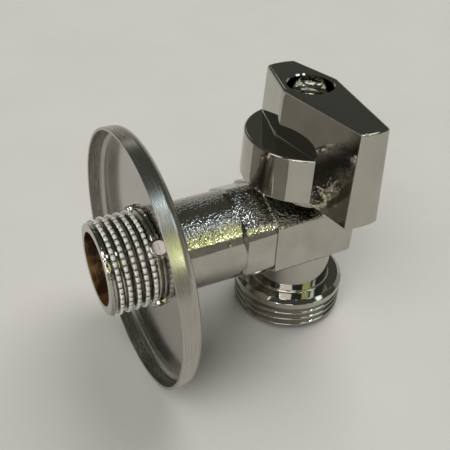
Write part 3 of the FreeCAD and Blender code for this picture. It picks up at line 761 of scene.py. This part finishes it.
def make_handle(materials):
    drum = lathe("lever_handle", [
        (HANDLE_BOTTOM, 0), (HANDLE_BOTTOM, 13.6, 0.25), (DRUM_TOP, 13.1, 0.5), (DRUM_TOP, 0),
    ], "z")
    on_top = edge_at("z", DRUM_TOP)

    def lever_foot(a, b):
        return on_top(a, b) and math.hypot(a.x + b.x, a.y + b.y) / 2 < 12.4

    lever = make_lever()
    join_flats(drum)
    combine(drum, [lever], "UNION")
    bevel(drum, lever_foot, 0.4, clamp=False)
    combine(drum, handle_hollows(), "DIFFERENCE")
    corners = [(x * SQUARE_HALF, y * SQUARE_HALF) for x, y in ((-1, -1), (1, -1), (1, 1), (-1, 1))]
    combine(drum, [prism("square_hole", corners, 10.0, 23.9)], "DIFFERENCE")
    combine(drum, [prism("handle_stop", ring_sector(8.6, 12.4, 33, STOP_WIDTH), 13.0, 21.5)], "UNION")
    weld(drum)

    def inside(p):
        under_skirt = math.hypot(p.x, p.y) < SKIRT_RADIUS + 0.1 and p.z < 26.1
        arm_core = -20 < p.y < -8 and abs(p.x) < 3.2 and p.z < 30.7
        return under_skirt or arm_core

    finish(drum, "lever", "handle", materials, [(1, inside)], sharp=22)


# Wall flange

FLANGE_RIM = -41.0
FLANGE_FACE = -36.6
FLANGE_BACK = -37.2
FLANGE_RADIUS = 28.15
FLANGE_INSIDE = 27.55
FLANGE_HOLE = 11.15


def make_flange(materials):
    piece = lathe("wall_flange", [
        (FLANGE_RIM, FLANGE_RADIUS, 0.12), (FLANGE_FACE, FLANGE_RADIUS, 2.0),
        (FLANGE_FACE, FLANGE_HOLE, 0.1), (FLANGE_BACK, FLANGE_HOLE, 0.1),
        (FLANGE_BACK, FLANGE_INSIDE, 1.4), (FLANGE_RIM, FLANGE_INSIDE, 0.12),
    ], "x", steps=192, fillet_steps=8)
    finish(piece, "wall_flange", "escutcheon", materials, sharp=35)


# Stage. The valve lies on the flange's rim and the outlet's end, and the floor is laid under both.

RIM_FOOT = Vector((FLANGE_RIM, 0, -FLANGE_RADIUS))
OUTLET_FOOT = Vector((12.3, 0, OUTLET_END))
FLOOR_GAP = 0.02
FLOOR_RADIUS = 4.0
FLOOR_RIM_HEIGHT = 1.35

# A lamp has the direction towards it, its colour, its radiance and its width in degrees. The
# broad ones light the floor, and the metal shows only the softboxes.

BROAD_LAMPS = {
    "broad_left": ((-0.50, -0.35, 0.79), (1.0, 0.99, 0.97), 3.4, 44),
    "broad_right": ((0.45, 0.25, 0.86), (1.0, 0.99, 0.97), 3.4, 44),
}
SOFTBOXES = {
    "overhead_box": ((0.38, -0.165, 0.915), (0.55, 0.78, 1.0), 1.5, 11),
    "overhead_core": ((0.37, -0.20, 0.905), (0.90, 0.97, 1.0), 45.0, 2.5),
    "front_box": ((0.39, -0.74, 0.55), (0.92, 1.0, 0.42), 1.15, 26),
    "front_core": ((0.385, -0.79, 0.475), (1.0, 1.0, 0.75), 45.0, 2.5),
    "side_box": ((-0.38, -0.60, 0.70), (1.0, 0.94, 1.0), 2.2, 24),
    "side_core": ((-0.55, -0.45, 0.70), (1.0, 0.98, 1.0), 45.0, 2.5),
    "left_box": ((-0.86, -0.06, 0.50), (1.0, 0.94, 1.0), 2.8, 24),
    "back_box": ((0.30, 0.80, 0.52), (0.95, 0.97, 1.0), 1.2, 8),
    "corner_box": ((-0.64, -0.62, 0.45), (1.0, 1.0, 0.80), 2.4, 26),
    "window_box": ((-0.22, -0.83, 0.50), (0.80, 0.93, 1.0), 4.0, 15),
    "thread_box": ((0.19, -0.42, 0.885), (1.0, 1.0, 1.0), 3.0, 9),
    "recess_box": ((0.54, -0.40, 0.74), (0.80, 0.93, 1.0), 2.2, 15),
}
SKY_COLOUR = (0.08, 0.084, 0.073, 1.0)

CAMERA_PLACE = Vector((-72.967, -100.885, 87.499))
CAMERA_RIGHT = Vector((0.8916998, -0.4511482, 0.0365609))
CAMERA_DOWN = Vector((-0.2430612, -0.5454191, -0.8021466))
CAMERA_FORWARD = Vector((0.3818281, 0.7063875, -0.5960068))


def make_floor():
    slope = math.atan2(OUTLET_FOOT.z - RIM_FOOT.z, OUTLET_FOOT.x - RIM_FOOT.x)
    deselect()
    bpy.ops.mesh.primitive_circle_add(vertices=96, radius=FLOOR_RADIUS, fill_type="NGON")
    floor = bpy.context.object
    floor.name = "floor"
    height = (RIM_FOOT.z - RIM_FOOT.x * math.tan(slope) - FLOOR_GAP) * MM
    floor.data.transform(Matrix.Translation((0, 0, height)) @ Matrix.Rotation(-slope, 4, "Y"))
    enter(floor, "EDGE")
    bpy.ops.mesh.extrude_edges_move(TRANSFORM_OT_translate={"value": (0, 0, FLOOR_RIM_HEIGHT)})
    leave()
    nodes = started("floor_paint", 0.0)
    nodes.link(tinted(nodes, tuple(bpy.context.scene.valve_finishes.floor), 0.02, 30.0), "Base Color")
    nodes.link(nodes.remap(nodes.noise(300.0, 3.0), 0.3, 0.7, 0.6, 0.75), "Roughness")
    floor.data.materials.append(nodes.material)


def make_lamps():
    for name, (toward, colour, radiance, angle) in {**BROAD_LAMPS, **SOFTBOXES}.items():
        light = bpy.data.lights.new(name, "SUN")
        light.color = colour
        light.angle = math.radians(angle)
        light.energy = radiance * math.pi * math.sin(light.angle / 2) ** 2
        lamp = bpy.data.objects.new(name, light)
        lamp.rotation_euler = Vector(toward).to_track_quat("Z", "Y").to_euler()
        lamp.visible_glossy = name in SOFTBOXES
        lamp.visible_diffuse = name in BROAD_LAMPS
        bpy.context.collection.objects.link(lamp)
    world = bpy.data.worlds.new("studio")
    world.use_nodes = True
    background = world.node_tree.nodes["Background"]
    background.inputs["Color"].default_value = SKY_COLOUR
    background.inputs["Strength"].default_value = 1.0
    bpy.context.scene.world = world
    bpy.context.scene.view_settings.view_transform = "Standard"


def make_camera():
    camera = bpy.data.cameras.new("camera")
    camera.sensor_width = 36.0
    camera.lens = 51.478
    camera.clip_start = 0.005
    view = bpy.data.objects.new("camera", camera)
    turned = Matrix((CAMERA_RIGHT, -CAMERA_DOWN, -CAMERA_FORWARD)).transposed().to_4x4()
    view.matrix_world = Matrix.Translation(CAMERA_PLACE * MM) @ turned
    bpy.context.collection.objects.link(view)
    bpy.context.scene.camera = view


# Operators

class VALVE_OT_body(bpy.types.Operator):
    """Model the forged body and its two threads"""
    bl_idname = "valve.body"
    bl_label = "Body and threads"

    def execute(self, context):
        finishes = context.scene.valve_finishes
        colour = tuple(finishes.plating)
        polished = plated("polished_plating", colour)
        forged = plated_forging("forged_plating", colour)
        brass = raw_brass("bare_brass", tuple(finishes.brass), (0.11, 0.06, 0.035))
        # The knurl's bead tops get a plating 2.4 times as bright and mostly diffuse: a painted highlight
        # for the glints that the beads catch.
        painted_bead_highlight = plated("knurled_painted_highlight", [min(0.97, c * 2.4) for c in colour], 0.22, 0.1, metallic=0.25)
        make_forging([forged, polished, brass])
        make_inlet_thread([polished, brass, painted_bead_highlight])
        make_outlet_thread([polished, brass])
        return {"FINISHED"}


class VALVE_OT_handle(bpy.types.Operator):
    """Model the lever handle"""
    bl_idname = "valve.handle"
    bl_label = "Lever handle"

    def execute(self, context):
        colour = tuple(context.scene.valve_finishes.plating)
        mirror = plated("mirror_plating", colour, 0.03, 0.025, 0.000006)
        core = plain_metal("cast_core", [c * 0.8 for c in colour], 0.35)
        make_handle([mirror, core])
        return {"FINISHED"}


class VALVE_OT_flange(bpy.types.Operator):
    """Model the wall flange"""
    bl_idname = "valve.flange"
    bl_label = "Wall flange"

    def execute(self, context):
        make_flange([turned_steel("turned_steel", tuple(context.scene.valve_finishes.flange))])
        return {"FINISHED"}


class VALVE_OT_inner(bpy.types.Operator):
    """Give the ball, seats, stem, seals and screws their finishes"""
    bl_idname = "valve.inner"
    bl_label = "Inner pieces"

    def execute(self, context):
        colour = tuple(context.scene.valve_finishes.plating)
        ball = plated("ball_plating", [c * 1.2 for c in colour], 0.04)
        brass = plain_metal("machined_brass", (0.52, 0.36, 0.15), 0.25)
        white = plain_solid("white_ptfe", (0.8, 0.8, 0.76), 0.35)
        rubber = plain_solid("black_rubber", (0.02, 0.02, 0.02), 0.45)
        steel = plain_metal("zinc_steel", (0.80, 0.80, 0.79), 0.16)
        finishes = (
            (ball, ("ball",)),
            (brass, ("stem", "gland_nut", "retainer_ring")),
            (white, ("back_seat", "inlet_seat", "thrust_washer", "gland_packing")),
            (rubber, ("stem_ring_lower", "stem_ring_upper")),
            (steel, ("handle_screw", "spring_washer")),
        )
        for material, nodes in finishes:
            for node in nodes:
                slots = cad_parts[node].material_slots
                if not slots:
                    raise RuntimeError(f"{node} has no material slot")
                for slot in slots:
                    slot.material = material
        return {"FINISHED"}


class VALVE_OT_stage(bpy.types.Operator):
    """Lay the floor and place the lamps and the camera"""
    bl_idname = "valve.stage"
    bl_label = "Floor, lamps and camera"

    def execute(self, context):
        make_floor()
        make_lamps()
        make_camera()
        return {"FINISHED"}


# Panel

class VALVE_PT_panel(bpy.types.Panel):
    bl_idname = "VALVE_PT_panel"
    bl_label = "Washing machine valve"
    bl_space_type = "VIEW_3D"
    bl_region_type = "UI"
    bl_category = "Valve"

    def draw(self, context):
        scene = context.scene
        for group, names in ((scene.valve_threads, ("pitch", "depth", "nicks", "nick_depth")),
                             (scene.valve_finishes, ("plating", "brass", "flange", "floor"))):
            for name in names:
                self.layout.prop(group, name)
        for operator in OPERATORS:
            self.layout.operator(operator.bl_idname)


OPERATORS = (VALVE_OT_body, VALVE_OT_handle, VALVE_OT_flange, VALVE_OT_inner, VALVE_OT_stage)
CLASSES = (ValveThreads, ValveFinishes) + OPERATORS + (VALVE_PT_panel,)


def register():
    for item in CLASSES:
        bpy.utils.register_class(item)
    bpy.types.Scene.valve_threads = PointerProperty(type=ValveThreads)
    bpy.types.Scene.valve_finishes = PointerProperty(type=ValveFinishes)


def unregister():
    del bpy.types.Scene.valve_finishes
    del bpy.types.Scene.valve_threads
    for item in reversed(CLASSES):
        bpy.utils.unregister_class(item)


def main():
    register()
    bpy.ops.valve.body()
    bpy.ops.valve.handle()
    bpy.ops.valve.flange()
    bpy.ops.valve.inner()
    bpy.ops.valve.stage()


if __name__ == "__main__":
    main()
